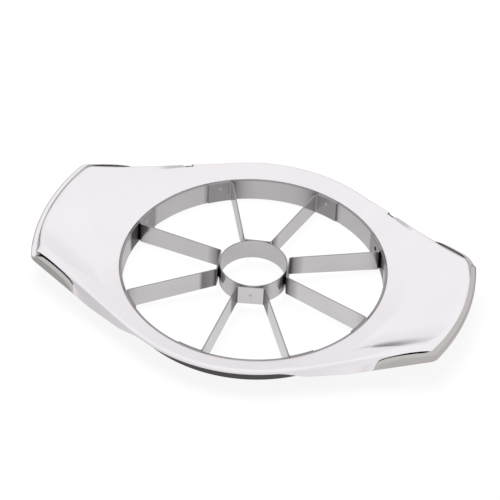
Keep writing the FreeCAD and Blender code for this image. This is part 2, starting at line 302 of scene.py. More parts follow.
# %% Rays round the opening
def ray_angles(steps):
    """Angles round the opening, with extra ones at the arches, corners and notches."""
    extra = [np.linspace(0, 2 * np.pi, steps, endpoint=False)]
    for x, spread, count in ((arch_x + 1.2, 0.055, 34), (corner_x, 0.06, 22), (notch_x, 0.024, 14)):
        close = math.atan2(half_width(x), x) + np.linspace(-spread, spread, count)
        extra += [close, np.pi - close, np.pi + close, 2 * np.pi - close]
    angles = np.unique(np.round(np.concatenate(extra), 5))
    return angles[np.concatenate([[True], np.diff(angles) > 0.0009])]


class BodyRows(Rows):
    """Rows that know the body's top and its insets."""

    def top_at(self, radius):
        return top_height(radius * self.c, radius * self.s)

    def add_top(self, radius):
        self.add(radius, self.top_at(radius))

    def settle(self, rule, end=0.0):
        """Distance along each ray to an inset that itself depends on x."""
        radius = flank_ray(self.angles, 0.0)
        for _ in range(14):
            radius = flank_ray(self.angles, rule(np.minimum(radius, end_edge) * self.c))
        return soft_min(radius, end_edge - end + 0 * self.c, edge_round)


body = BodyRows(ray_angles(600))
print("rays:", len(body.angles))

# %% Collar, lip and top
collar_foot, lip_round = 0.4, 0.5
top_start = opening + 0.9             # the dished top begins here
end_roll = 3.2                        # the top turns down over this length at the ends


def collar_and_lip():
    for z in np.linspace(collar_foot, lip - 0.6, 5):
        body.add(opening, z)
    for turn in (15, 35, 55, 75, 90):
        a = math.radians(turn)
        height = lip - lip_round * (1 - math.sin(a)) + 0.1 * (turn / 90) ** 2
        body.add(opening + lip_round * (1 - math.cos(a)), height)


def dished_top():
    """From the lip to the crest of the shoulders; returns the crest and the crease."""
    crest = body.settle(crest_inset, end_roll)
    crease = np.minimum(opening + dish_width + 0.5, crest - 1.2)
    for t in np.linspace(0, 1, 8):
        body.add_top(top_start + (crease - top_start) * t)
    for t in np.linspace(0, 1, 27)[1:]:
        body.add_top(crease + (crest - crease) * t)
    return crest, crease


collar_and_lip()
crest, crease = dished_top()
print("rows so far:", len(body.rows))


# %% Shoulder, skirt and inside
def shoulder():
    """The rolled shoulder, down to the skirt or to the arch's edge."""
    for turn in np.linspace(0, 90, 11)[1:]:
        share = math.sin(math.radians(turn))
        radius = body.settle(lambda x: skirt_inset(x) * share + crest_inset(x) * (1 - share),
                             end_roll * (1 - share))
        nick = notch_depth * share * notch(radius * body.c, radius * body.s)
        body.add(radius - nick, body.top_at(radius) - nick)


def skirt():
    """From the shoulder to the cut edge; returns the radius and height of each row."""
    start = body.rows[-1][:, 2]
    feet = []
    for t in np.linspace(0, 1, 7)[1:]:
        radius = body.settle(lambda x: skirt_inset(x) * (1 - t) + cut_inset(x) * t)
        x, y = radius * body.c, radius * body.s
        foot = np.where(past_arch(x) > 0.5, arch_line(x), lower_edge(x) + notch_rise * notch(x, y))
        feet.append((radius - notch_depth * notch(x, y), start + (np.minimum(foot, start) - start) * t))
        body.add(*feet[-1])
    return feet


def inside(feet):
    """Back along the inside to the collar, one gauge from the outside."""
    edge, edge_height = feet[-1]
    for radius, height in feet[::-1]:
        body.add(radius - 1.1 * sheet, np.maximum(height, edge_height))
    for turn in np.linspace(90, 0, 7):
        out, rise = math.sin(math.radians(turn)), math.cos(math.radians(turn))
        radius = body.settle(lambda x: crest_inset(x) - (shoulder_roll(x) - sheet) * out,
                             end_roll * (1 - out) + sheet)
        radius = np.minimum(radius, edge - sheet)
        roll = shoulder_roll(radius * body.c)
        height = ridge_height(radius * body.c) - roll + (roll - sheet) * rise
        body.add(radius, np.clip(height, edge_height, body.top_at(radius) - sheet))
    plan = [crest + (crease - crest) * t for t in np.linspace(0, 1, 12)[1:]]
    for radius in plan + [top_start + (crease - top_start) * 0.4]:
        body.add(np.maximum(radius, opening + sheet), body.top_at(radius) - 1.03 * sheet)
    for z in np.linspace(lip - 0.9, collar_foot, 4):
        body.add(opening + sheet, z)


shoulder()
skirt_feet = skirt()
outer_rows = len(body.rows)
inside(skirt_feet)
print("rows outside:", outer_rows, "and inside:", len(body.rows) - outer_rows)


# %% The body as one closed skin
def unbuffed_shade_shares(grid):
    """0 where buffed, 1 where pressed and given painted shade: inside, collar, cut edges, notches, and
    darker past the far notches.
    """
    raw = np.ones(grid.shape[:2])
    # the collar and the inside keep 1: rougher, and dark with painted shade
    raw[4:outer_rows] = 0
    x, y = grid[outer_rows - 1, :, 0], grid[outer_rows - 1, :, 1]
    # painted shade along the cut edges past the arches
    raw[outer_rows - 5:outer_rows] = 0.7 * np.clip((np.abs(x) - arch_x - 1.2) / 2.0, 0, 1)
    past = np.abs(x) - notch_x
    # darker past each far notch, with painted shade in the notch itself
    past_notch_dark = 0.38 * np.clip((13 - past) / 5, 0, 1) * (past > 0) * (y > 0)
    raw[outer_rows - 19:outer_rows - 6] = np.maximum(past_notch_dark, 0.9 * notch(x, y))
    return raw


shell_grid = np.array(body.rows)
shell = skin("body_shell", shell_grid)
mark(shell, "raw", unbuffed_shade_shares(shell_grid))
shell.data.set_sharp_from_angle(angle=math.radians(38))
print("body shell:", len(shell.data.polygons), "faces")

# %% [markdown]
# The handle trays
#
# Under each handle a shallow tray closes the hollow of the wing. Its rim shows as a
# grey band round the handle's end, just outside the shell's edge. Each ray from the
# centre cuts the tray in one closed profile, so the tray is a grid too, with the
# profile as its rows and a flat cap where the tongue ends. Both trays are one part,
# turned half a turn.

# %% Sizes of a tray
tongue_x, tongue_inset = 44.0, 1.4    # the tongue reaches in to this x, this far inside the flanks
rim_x = arch_x + 0.1
floor_gauge = 0.8
rim_wall, rim_roll, groove_depth = 1.3, 1.2, 0.9
floor_inset = 3.0                     # where the ledge ends and the floor begins
corner_dip = 2.0                      # the rim is lower at one corner


def angle_at(x, inset=0.0):
    return math.atan2(half_width(x) - inset, x)


tip, step, corner = angle_at(tongue_x, 1.9), angle_at(rim_x), angle_at(corner_x)
print("tray spans", round(math.degrees(2 * tip), 1), "degrees, its rim", round(math.degrees(2 * step), 1))


# %% Profile of a tray along the rays
def tray_angles():
    parts = [np.linspace(0, corner - 0.05, 50), np.linspace(corner - 0.045, corner + 0.045, 24),
             np.linspace(corner + 0.05, step - 0.001, 40), np.linspace(step + 0.0002, tip, 12)]
    half = np.concatenate(parts)
    return np.concatenate([-half[:0:-1], half])


def tray_grid():
    """Rows of the profile: underside, wall, rolled rim, ledge and floor."""
    tray = Rows(tray_angles())
    angles, c = tray.angles, tray.c
    rim = np.abs(angles) < step
    outer = np.where(rim, outline_ray(angles, 0.0), flank_ray(angles, tongue_inset * stretch))
    inner = np.maximum(opening + sheet, tongue_x / c)
    flank = ease((np.abs(angles) - corner + 0.02) / 0.05)
    dip = corner_dip * np.exp(-((angles - corner + 0.004) / 0.022) ** 2)
    base = lower_edge(outer * c)
    crown = arch_line(outer * c) - 0.15 * flank - dip

    def inset(distance):
        return np.where(rim, outline_ray(angles, distance), outer - 0.02)

    for t in np.linspace(0, 1, 9):
        radius = inner + (outer - 0.3 - inner) * t
        tray.add(radius, lower_edge(radius * c))
    tray.add(outer - 0.06, base + 0.06)
    roll = np.minimum(rim_roll, np.maximum(crown - base - 0.3, 0.05))
    wall = np.where(rim, crown - roll, base + 0.5)
    for t in np.linspace(0, 1, 5)[:-1]:
        tray.add(outer, base + 0.2 + (wall - base - 0.2) * t)
    for turn in np.linspace(0, 90, 10):
        a = math.radians(turn)
        tray.add(inset(roll * (1 - math.cos(a))), wall + np.where(rim, roll, 0.2) * math.sin(a))
    lowest = base + floor_gauge + 0.02
    ledge = np.where(rim, np.maximum(crown - groove_depth * flank - 0.05, lowest), base + 0.78)
    groove = inset(rim_wall * flank + 2.0 * (1 - flank))
    tray.add(groove, np.where(rim, crown, base + 0.75))
    tray.add(groove, ledge)
    tray.add(inset(floor_inset), ledge)
    tray.add(inset(floor_inset), base + floor_gauge)
    start = inset(floor_inset + 0.2)
    for t in np.linspace(0, 1, 6)[1:]:
        radius = start + (inner - start) * t
        tray.add(radius, lower_edge(radius * c) + floor_gauge)
    return np.array(tray.rows)


tray_rows = tray_grid()
print("tray profile rows:", len(tray_rows))


# %% The two trays
def cap_ends(mesh, rows, columns):
    """Closes the profile at both tips of the tongue."""
    edit = bmesh.new()
    edit.from_mesh(mesh)
    edit.verts.ensure_lookup_table()
    for column in (0, columns - 1):
        edit.faces.new([edit.verts[i * columns + column] for i in range(rows)])
    bmesh.ops.recalc_face_normals(edit, faces=edit.faces)
    edit.to_mesh(mesh)
    edit.free()


def tray(name, side):
    grid = tray_rows * (side, side, 1)
    piece = skin(name, grid, loop=False)
    raw = np.zeros(grid.shape[:2])
    # the floor inside, under the shell, is rougher and gets painted shade
    raw[-7:] = 1
    mark(piece, "raw", raw)
    cap_ends(piece.data, *grid.shape[:2])
    piece.data.set_sharp_from_angle(angle=math.radians(40))
    return piece


right_tray, left_tray = tray("tray_right", 1), tray("tray_left", -1)
print("trays:", len(right_tray.data.polygons), "faces each")

# %% [markdown]
# Node trees in words
#
# The cutter's pieces follow rules: rings are turned, and each blade strip is one
# ribbon bent along a path. Geometry Nodes fit that well, because a size stays a named
# input. This small class builds a node tree and lets its sockets be used in sums.

# %% A wrapper for sockets
class Wire:
    """A socket that can be used in Python sums; each sum adds a Math node."""

    def __init__(self, web, socket):
        self.web, self.socket = web, socket

    def _math(self, operation, *values):
        return self.web.node("ShaderNodeMath", {"operation": operation}, dict(enumerate(values)))

    def __add__(self, other):
        return self._math("ADD", self, other)

    def __radd__(self, other):
        return self._math("ADD", other, self)

    def __sub__(self, other):
        return self._math("SUBTRACT", self, other)

    def __rsub__(self, other):
        return self._math("SUBTRACT", other, self)

    def __mul__(self, other):
        return self._math("MULTIPLY", self, other)

    def __rmul__(self, other):
        return self._math("MULTIPLY", other, self)

    def __truediv__(self, other):
        return self._math("DIVIDE", self, other)

    def __rtruediv__(self, other):
        return self._math("DIVIDE", other, self)

    def clamped(self):
        return self.web.node("ShaderNodeClamp", {}, {"Value": self})


class Web:
    """Builds nodes in one tree: type, settings first, then values or links."""

    def __init__(self, tree):
        self.tree = tree

    def node(self, kind, settings=None, inputs=None, output=0):
        made = self.tree.nodes.new(kind)
        for key, value in (settings or {}).items():
            if key == "stops":
                self.set_stops(made.color_ramp, value)
            else:
                setattr(made, key, value)
        for key, value in (inputs or {}).items():
            if isinstance(value, Wire):
                self.tree.links.new(value.socket, made.inputs[key])
            else:
                made.inputs[key].default_value = value
        return Wire(self, made.outputs[output])

    def set_stops(self, ramp, stops):
        while len(ramp.elements) < len(stops):
            ramp.elements.new(0.5)
        for element, (place, colour) in zip(ramp.elements, stops):
            element.position, element.color = place, (*colour, 1)

    def finish(self, kind, result):
        """Ends the tree in an output node of that kind."""
        out = self.tree.nodes.new(kind)
        self.tree.links.new(result.socket, out.inputs[0])


print("node helpers ready")


# %% Trees and what they make
def new_tree(name, sizes):
    """A geometry tree with named inputs; returns its web and its input wires."""
    tree = bpy.data.node_groups.new(name, "GeometryNodeTree")
    tree.interface.new_socket("Geometry", in_out="INPUT", socket_type="NodeSocketGeometry")
    for label in sizes:
        kind = "NodeSocketMaterial" if label == "Metal" else "NodeSocketFloat"
        tree.interface.new_socket(label, in_out="INPUT", socket_type=kind)
    tree.interface.new_socket("Geometry", in_out="OUTPUT", socket_type="NodeSocketGeometry")
    web = Web(tree)
    group = tree.nodes.new("NodeGroupInput")
    return web, {socket.name: Wire(web, socket) for socket in group.outputs if socket.name}


def close_tree(web, result, metal):
    solid = web.node("GeometryNodeRealizeInstances", {}, {0: result})
    painted = web.node("GeometryNodeSetMaterial", {}, {"Geometry": solid, "Material": metal})
    web.finish("NodeGroupOutput", web.node("GeometryNodeSetShadeSmooth", {}, {0: painted}))
    return web.tree


def grow(name, tree, sizes, start=None):
    """Runs a tree with these sizes and keeps the result as a plain mesh."""
    piece = bpy.data.objects.new(name, start or bpy.data.meshes.new(name))
    bpy.context.scene.collection.objects.link(piece)
    modifier = piece.modifiers.new("grow", "NODES")
    modifier.node_group = tree
    for socket in tree.interface.items_tree:
        if socket.in_out == "INPUT" and socket.name in sizes:
            modifier[socket.identifier] = sizes[socket.name]
    bpy.context.view_layer.update()
    seen = piece.evaluated_get(bpy.context.evaluated_depsgraph_get())
    mesh = bpy.data.meshes.new_from_object(seen)
    piece.modifiers.clear()
    piece.data = mesh
    mesh.name = name
    print(name, "has", len(mesh.polygons), "faces")
    return piece


# %% [markdown]
# Metals
#
# The body is buffed until it is almost a mirror, with a faint warm haze and fine
# wiping marks; its collar, its inside, its cut edges and its notches are rougher and
# carry painted shade. The trays are polished less, and their floors carry painted shade.
# At the left end the rim's top gets a painted highlight, so no grey band shows there.
# The cutter is rolled strip: its grain runs along the metal, so the pattern is squeezed
# in height. Its corners carry painted shade, and its ground edges, where they face up,
# get painted shade as a dull grey.
# Colour, roughness and bump all come from the same few noises.

# %% Shader helpers
def new_metal(name):
    material = bpy.data.materials.new(name)
    material.use_nodes = True
    material.node_tree.nodes.clear()
    return material, Web(material.node_tree)


def cloud(web, scale, stretch_by=(1, 1, 1), detail=3.0, roughness=0.55):
    spot = web.node("ShaderNodeTexCoord", {}, {}, "Object")
    spot = web.node("ShaderNodeMapping", {}, {"Vector": spot, "Scale": stretch_by})
    inputs = {"Vector": spot, "Scale": scale, "Detail": detail, "Roughness": roughness}
    return web.node("ShaderNodeTexNoise", {}, inputs)


def mix_colours(web, share, first, second):
    """From the first colour to the second; each is a wire or three numbers."""
    ends = [end if isinstance(end, Wire) else (*end, 1) for end in (first, second)]
    inputs = {0: share, 6: ends[0], 7: ends[1]}
    return web.node("ShaderNodeMix", {"data_type": "RGBA"}, inputs, 2)


def tinted(web, colour, label, tint):
    """The colour mixed towards a tint by a mark on the piece; also gives the mark."""
    share = web.node("ShaderNodeAttribute", {"attribute_name": label}, {}, "Fac")
    return mix_colours(web, share, colour, tint), share


def facing_up(web, normal):
    """1 where the metal faces straight up, by its Normal or its True Normal."""
    way = web.node("ShaderNodeNewGeometry", {}, {}, normal)
    return web.node("ShaderNodeSeparateXYZ", {}, {0: way}, "Z")


def finish_metal(web, colour, roughness, height, strength):
    bump = web.node("ShaderNodeBump", {}, {"Strength": strength, "Distance": 0.00005, "Height": height})
    inputs = {"Base Color": colour, "Metallic": 1.0, "Roughness": roughness, "Normal": bump}
    web.finish("ShaderNodeOutputMaterial", web.node("ShaderNodeBsdfPrincipled", {}, inputs))


print("shader helpers ready")


# %% Metals of the body and the trays
def buffed_body():
    material, web = new_metal("buffed_steel")
    haze = cloud(web, 38.0)
    wipes = cloud(web, 90.0, (14, 2, 6), 4.0)
    fine = cloud(web, 2600.0, detail=2.0)
    polish = mix_colours(web, haze, (0.83, 0.80, 0.83), (0.93, 0.895, 0.93))
    # the dark tint is painted shade on the collar, the inside, the cut edges and the notches; the added
    # roughness is the pressed finish
    colour, raw = tinted(web, polish, "raw", (0.10, 0.095, 0.095))
    rough = 0.09 + 0.06 * haze + 0.04 * wipes + 0.2 * raw
    finish_metal(web, colour, rough, 0.7 * fine + 0.3 * wipes, 0.10)
    return material


highlight_start = 0.0819                     # the painted highlight begins here, in m from the middle


def left_end_highlight(web):
    """1 on what faces up at the left end, where the rim gets a painted highlight."""
    place = web.node("ShaderNodeTexCoord", {}, {}, "Object")
    reach = web.node("ShaderNodeVectorMath", {"operation": "LENGTH"}, {0: place}, "Value")
    across = web.node("ShaderNodeSeparateXYZ", {}, {0: place}, "X")
    at_end = ((reach - highlight_start) * 1500).clamped() * (across * -100).clamped()
    return ((facing_up(web, "Normal") - 0.15) * 2.5).clamped() * at_end


def polished_tray():
    material, web = new_metal("polished_tray_steel")
    haze = cloud(web, 55.0)
    lines = cloud(web, 420.0, (1, 1, 9), 4.0)
    polish = mix_colours(web, haze, (0.49, 0.47, 0.46), (0.57, 0.55, 0.54))
    # painted highlight: what faces up at the left end of the rim is made near white
    polish = mix_colours(web, left_end_highlight(web), polish, (0.88, 0.86, 0.88))
    # the dark tint is painted shade on the floor under the shell; the added roughness is the unbuffed
    # finish
    colour, raw = tinted(web, polish, "raw", (0.06, 0.055, 0.055))
    finish_metal(web, colour, 0.16 + 0.08 * haze + 0.06 * lines + 0.2 * raw, lines, 0.12)
    return material


body_metal, tray_metal = buffed_body(), polished_tray()
for piece, metal in ((shell, body_metal), (right_tray, tray_metal), (left_tray, tray_metal)):
    piece.data.materials.append(metal)
    print(piece.name, "is made of", metal.name)


# %% Metals of the cutter
def rolled_strip():
    material, web = new_metal("rolled_cutter_steel")
    grain = cloud(web, 260.0, (1, 1, 26), 5.0, 0.65)
    patches = cloud(web, 60.0)
    colour = mix_colours(web, patches, (0.74, 0.725, 0.735), (0.88, 0.865, 0.875))
    # the dark tint is painted shade at the roots, the bends and beside the core
    colour, shaded = tinted(web, colour, "stain", (0.06, 0.05, 0.05))
    # painted shade on the ground edges that face up: a dull dark grey on top faces only
    ground_edge_shade = 0.8 * ((facing_up(web, "True Normal") - 0.5) * 4).clamped()
    colour = mix_colours(web, ground_edge_shade, colour, (0.22, 0.21, 0.215))
    finish_metal(web, colour, 0.10 + 0.07 * patches + 0.05 * grain + 0.1 * shaded, grain, 0.14)
    return material


def weld_metal():
    material, web = new_metal("weld_steel_blued")
    speckle = cloud(web, 1800.0)
    colour = mix_colours(web, speckle, (0.66, 0.64, 0.64), (0.80, 0.78, 0.78))
    colour, burn = tinted(web, colour, "burn", (0.05, 0.04, 0.035))
    finish_metal(web, colour, 0.28 + 0.1 * speckle + 0.2 * burn, speckle, 0.3)
    return material


cutter_metal, weld_finish = rolled_strip(), weld_metal()
print("cutter metals:", cutter_metal.name, "and", weld_finish.name)

# %% [markdown]
# Turned rings: the cutter band and the core tube
#
# Both are short tubes. The tree takes a rectangle of the tube's wall, rounds its
# corners a little as deburring does, and sweeps it round a circle.

# %% Ring tree
def ring_tree():
    web, size = new_tree("turned_ring", ["Radius", "Wall", "Height", "Bottom", "Rounding", "Metal"])
    circle = web.node("GeometryNodeCurvePrimitiveCircle", {"mode": "RADIUS"},
                      {"Resolution": 320, "Radius": size["Radius"] + size["Wall"] * 0.5})
    wall = web.node("GeometryNodeCurvePrimitiveQuadrilateral", {"mode": "RECTANGLE"},
                    {"Width": size["Wall"], "Height": size["Height"]})
    wall = web.node("GeometryNodeFilletCurve", {"mode": "POLY"},
                    {"Curve": wall, "Count": 3, "Radius": size["Rounding"], "Limit Radius": True})
    tube = web.node("GeometryNodeCurveToMesh", {}, {"Curve": circle, "Profile Curve": wall})
    lift = web.node("ShaderNodeCombineXYZ", {}, {"Z": size["Bottom"] + size["Height"] * 0.5})
    tube = web.node("GeometryNodeTransform", {}, {"Geometry": tube, "Translation": lift})
    return close_tree(web, tube, size["Metal"])


def turned_ring(name, low, high, wall):
    sizes = {"Radius": high.x - wall * MM, "Wall": wall * MM, "Height": high.z - low.z,
             "Bottom": low.z, "Rounding": 0.12 * MM, "Metal": cutter_metal}
    return grow(name, rings, sizes)


rings = ring_tree()
band_wall, core_wall = 0.9, 0.5
band = turned_ring("cutter_band", band_low, band_high, band_wall)
core = turned_ring("core_tube", core_low, core_high, core_wall)

# %% [markdown]
# Bent blade strips
#
# Two blades are one strip: it is welded along the band, bends inwards, runs to the
# core, lies flat against it, and runs back out. The path is a short list of corners;
# the tree rounds them, sweeps a thin rectangle along the path, and then sets each
# point's height, because a strip climbs a little from the band to the core.

# %% Strip tree
def strip_tree():
    labels = ["Bend", "Wall", "Core top", "Core foot", "Band top", "Band foot", "Inner", "Outer", "Metal"]
    web, size = new_tree("bent_strip", labels)
    path = web.node("GeometryNodeMeshToCurve", {}, {"Mesh": size["Geometry"]})
    path = web.node("GeometryNodeFilletCurve", {"mode": "POLY"},
                    {"Curve": path, "Count": 5, "Radius": size["Bend"], "Limit Radius": True})
    path = web.node("GeometryNodeSetCurveNormal", {"mode": "Z_UP"}, {"Curve": path})
    blank = web.node("GeometryNodeCurvePrimitiveQuadrilateral", {"mode": "RECTANGLE"},
                     {"Width": size["Wall"], "Height": 1.0})
    ribbon = web.node("GeometryNodeCurveToMesh", {},
                      {"Curve": path, "Profile Curve": blank, "Fill Caps": True})
    spot = web.node("GeometryNodeInputPosition")
    flat = web.node("ShaderNodeVectorMath", {"operation": "MULTIPLY"}, {0: spot, 1: (1, 1, 0)})
    radius = web.node("ShaderNodeVectorMath", {"operation": "LENGTH"}, {0: flat}, "Value")
    share = ((radius - size["Inner"]) / (size["Outer"] - size["Inner"])).clamped()
    top = size["Core top"] + (size["Band top"] - size["Core top"]) * share
    foot = size["Core foot"] + (size["Band foot"] - size["Core foot"]) * share
    height = web.node("ShaderNodeSeparateXYZ", {}, {0: spot}, "Z")
    lifted = web.node("ShaderNodeCombineXYZ", {}, {"Z": foot + (top - foot) * (height + 0.5)})
    target = web.node("ShaderNodeVectorMath", {"operation": "ADD"}, {0: flat, 1: lifted})
    ribbon = web.node("GeometryNodeSetPosition", {}, {"Geometry": ribbon, "Position": target})
    return close_tree(web, ribbon, size["Metal"])


bent = strip_tree()
print("strip tree has", len(bent.nodes), "nodes")

# %% Path of a strip
strip_wall, tab_length, bend = 0.5, 9.5, 0.75
tab_radius = opening - band_wall - strip_wall / 2
blade_stations = (0.05, 0.12, 0.25, 0.8, 0.84, 0.95)   # extra points, where painted shade begins and ends
headings = {                          # web heading and spread, then the same at the band
    "right": (11.5, 45.0, 9.0, 44.0),
    "far": (101.5, 43.0, 98.5, 39.0),
    "left": (190.5, 44.5, 192.5, 44.8),
    "near": (284.3, 43.0, 285.0, 38.0),
}


def polar(radius, degrees):
    a = math.radians(degrees)
    return Vector((radius * math.cos(a), radius * math.sin(a), 0))


def strip_path(web_heading, web_spread, band_heading, band_spread):
    """Corners of a strip's middle line in plan, from one tab to the other."""
    corner = (core_radius + strip_wall / 2) / math.cos(math.radians(web_spread / 2))
    turn = math.degrees(tab_length / tab_radius)
    halves = []
    for way in (-1, 1):
        root = band_heading + way * band_spread / 2
        side = [polar(tab_radius, root + way * turn * t) for t in np.linspace(1, 0, 9)]
        bend_at = polar(corner, web_heading + way * web_spread / 2)
        side += [side[-1].lerp(bend_at, share) for share in blade_stations]
        halves.append(side + [bend_at])
    return halves[0] + halves[1][::-1]


def path_mesh(name, points):
    mesh = bpy.data.meshes.new(name)
    links = [(i, i + 1) for i in range(len(points) - 1)]
    mesh.from_pydata([p * MM for p in points], links, [])
    return mesh


strip_height = 8.05                   # at the core; at the band it is a little more
climb_inner, climb_outer = 14.6, 48.5    # the climb lies between these distances from the middle
strips = {}
for name, heading in headings.items():
    foot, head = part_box("blade_strip_" + name)
    sizes = {"Bend": bend * MM, "Wall": strip_wall * MM, "Metal": cutter_metal,
             "Core top": head.z, "Core foot": head.z - strip_height * MM,
             "Band top": (lip - 0.6) * MM, "Band foot": foot.z,
             "Inner": climb_inner * MM, "Outer": climb_outer * MM}
    strips[name] = grow("blades_" + name, bent, sizes, path_mesh("path_" + name, strip_path(*heading)))
    strips[name].data.set_sharp_from_angle(angle=math.radians(30))

# %% [markdown]
# Painted shade on the cutter
#
# Where strips meet the band and the core, shade is painted dark into the metal. The
# painted shade is worked out from each point's distance to a blade's root, and is written
# on the points.

# %% Where the cutter gets painted shade
dark_corners = (("left", -1), ("right", 1))    # these two roots carry painted shade for 9 degrees
web_clear, near_side = 1.35, -11      # a leg leaves its web here, and the near strip is in front
leg_shade, near_leg_shade = 2.4, 6.4  # how far from its web a leg carries painted shade


def past_root(places, heading, spread, way):
    """Degrees past a blade's root, counted outwards from the strip's middle."""
    angle = np.degrees(np.arctan2(places[:, 1], places[:, 0]))
    return way * ((angle - heading - way * spread / 2 + 180) % 360 - 180)


def strip_shade(places, radius):
    """Painted shade in the bends by the band, and on the legs beside the core."""
    at_band = np.exp(-np.maximum(0, tab_radius - radius) / 1.6)
    past_web = radius - core_radius - web_clear
    reach = np.where(places[:, 1] < near_side, near_leg_shade, leg_shade)
    at_core = np.clip((reach - past_web) / 1.2, 0, 1) * (past_web > 0)
    return 0.6 * at_band + 0.95 * at_core


def band_shade(places, radius):
    """Painted shade beside each blade's root, and in a line where the tab ends."""
    dark = 0 * radius
    for name, (_, _, heading, spread) in headings.items():
        for way in (-1, 1):
            past = past_root(places, heading, spread, way)
            beside = np.exp(-np.maximum(0, -past) / 4.0)
            if (name, way) in dark_corners:
                beside = 1.1 * np.clip((9.2 + past) / 1.2, 0, 1)
            tab_end = np.exp(-((past - 11.6) / 0.9) ** 2)
            dark = np.maximum(dark, 0.85 * beside * (past < 0.5) + 0.5 * tab_end)
    return 0.1 + dark


def core_shade(places, radius):
    """Painted shade beside each web's corners, on the outside."""
    dark = 0 * radius
    for heading, spread, _, _ in headings.values():
        for way in (-1, 1):
            dark = np.maximum(dark, np.exp(-(past_root(places, heading, spread, way) / 9.0) ** 2))
    return 0.1 + 0.6 * dark * (radius > core_radius - 0.3)


def stain(piece, rule):
    """Marks a piece's painted shade by a rule for its points."""
    places = np.array([point.co for point in piece.data.vertices]) / MM
    mark(piece, "stain", rule(places, np.hypot(places[:, 0], places[:, 1])))


# each cutter piece gets painted shade by its own rule
shaded = [(band, band_shade), (core, core_shade)] + [(piece, strip_shade) for piece in strips.values()]
for piece, rule in shaded:
    stain(piece, rule)
print("shaded", len(shaded), "pieces")

# %% [markdown]
# Weld marks
#
# A spot weld leaves a small round mark. Most were polished nearly away, and one is
# still dark and proud. The tree puts one low button on each weld point, turned to
# face the way the metal faces there. The points' directions and how burnt each one
# is travel with them as attributes.

# %% Weld tree
def weld_tree():
    web, size = new_tree("weld_marks", ["Size", "Metal"])
    button = web.node("GeometryNodeMeshUVSphere", {}, {"Segments": 20, "Rings": 10, "Radius": size["Size"]})
    facing = web.node("GeometryNodeInputNamedAttribute", {"data_type": "FLOAT_VECTOR"}, {"Name": "facing"})
    turn = web.node("FunctionNodeAlignRotationToVector", {"axis": "Z"}, {"Vector": facing})
    burn = web.node("GeometryNodeInputNamedAttribute", {"data_type": "FLOAT"}, {"Name": "burn"})
    spread = 0.9 + 0.5 * burn
    shape = web.node("ShaderNodeCombineXYZ", {}, {0: spread, 1: spread, 2: 0.04 + 0.4 * burn})
    dots = web.node("GeometryNodeInstanceOnPoints", {},
                    {"Points": size["Geometry"], "Instance": button, "Rotation": turn, "Scale": shape})
    return close_tree(web, dots, size["Metal"])


def weld_marks(name, spots):
    """Buttons at spots, each with its place, the way it faces and its burn."""
    mesh = bpy.data.meshes.new(name + "_points")
    mesh.from_pydata([place * MM for place, _, _ in spots], [], [])
    facing = mesh.attributes.new("facing", "FLOAT_VECTOR", "POINT")
    facing.data.foreach_set("vector", [v for _, way, _ in spots for v in way])
    burn = mesh.attributes.new("burn", "FLOAT", "POINT")
    burn.data.foreach_set("value", [share for _, _, share in spots])
    return grow(name, dots, {"Size": 0.7 * MM, "Metal": weld_finish}, mesh)


dots = weld_tree()
print("weld tree has", len(dots.nodes), "nodes")

# %% Weld marks on the tabs and the core
tab_face = opening - band_wall - strip_wall
half_tab = math.degrees(tab_length / (tab_face + strip_wall)) / 2
core_weld_low, core_weld_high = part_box("core_spot_welds")
tab_level = Vector((0, 0, lip - 3.2))
core_level = Vector((0, 0, (core_weld_low.z + core_weld_high.z) / 2 / MM))
tab_spots = []
for name, (_, _, heading, spread) in headings.items():
    for way in (-1, 1):
        angle = heading + way * (spread / 2 + half_tab)
        burn = 0.95 if (name, way) == ("right", 1) else 0.12
        tab_spots.append((polar(tab_face, angle) + tab_level, -polar(1, angle), burn))
core_spots = [(polar(core_radius + strip_wall, heading) + core_level, polar(1, heading), 0.1)
              for heading, _, _, _ in headings.values()]
tab_marks = weld_marks("tab_weld_marks", tab_spots)
core_marks = weld_marks("core_weld_marks", core_spots)

# %% [markdown]
# Joining the dressed pieces to the frame
#
# Each new piece rides on the tool's one body and stands for the imported piece it
# dresses. The welds between band and collar are hidden, so the imported ones stay and
# only get their metal.

# %% Rides and replacements, with slot names that are not used
dressed = [
    (shell, "top_shell", "body_metal"),
    (right_tray, "right_handle_tray", "tray_metal"),
    (left_tray, "left_handle_tray", "tray_metal"),
    (band, "blade_band", "cutter_steel"),
    (core, "core_ring", "cutter_steel"),
    (tab_marks, "tab_spot_welds", "weld_steel"),
    (core_marks, "core_spot_welds", "weld_steel"),
]
dressed += [(piece, "blade_strip_" + name, "cutter_steel") for name, piece in strips.items()]
for piece, node, slot in dressed:
    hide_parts(node)
    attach(piece, "root")
hidden_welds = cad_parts["band_spot_welds"]
hidden_welds.data.materials.clear()
hidden_welds.data.materials.append(weld_finish)
print("dressed", len(dressed), "pieces")

# %% [markdown]
# Camera
#
# The photograph was taken from the front right, looking down at about 42 degrees,
# with a long lens. Position and aim are worked out from those few values.

# %% Camera
azimuth, elevation, roll = (math.radians(v) for v in (16.963, 42.283, 2.430))
distance, aim_right, aim_up = 1160.3, 1.2526, -6.142
focal_share = 6.2125                  # focal length over the picture's width
back = Vector((math.sin(azimuth) * math.cos(elevation), -math.cos(azimuth) * math.cos(elevation),
               math.sin(elevation)))
level_right = Vector((math.cos(azimuth), math.sin(azimuth), 0))
level_up = back.cross(level_right)
right = math.cos(roll) * level_right + math.sin(roll) * level_up
up = math.cos(roll) * level_up - math.sin(roll) * level_right
stand = (back * distance - right * aim_right - up * aim_up + Vector((0, 0, lip))) * MM
camera = bpy.data.objects.new("camera", bpy.data.cameras.new("camera"))
bpy.context.scene.collection.objects.link(camera)
camera.matrix_world = Matrix.Translation(stand) @ Matrix((right, up, back)).transposed().to_4x4()
camera.data.sensor_width = 36
camera.data.lens = camera.data.sensor_width * focal_share
camera.data.clip_start, camera.data.clip_end = 0.05, 60
bpy.context.scene.camera = camera
print("camera stands at", [round(v, 3) for v in stand])
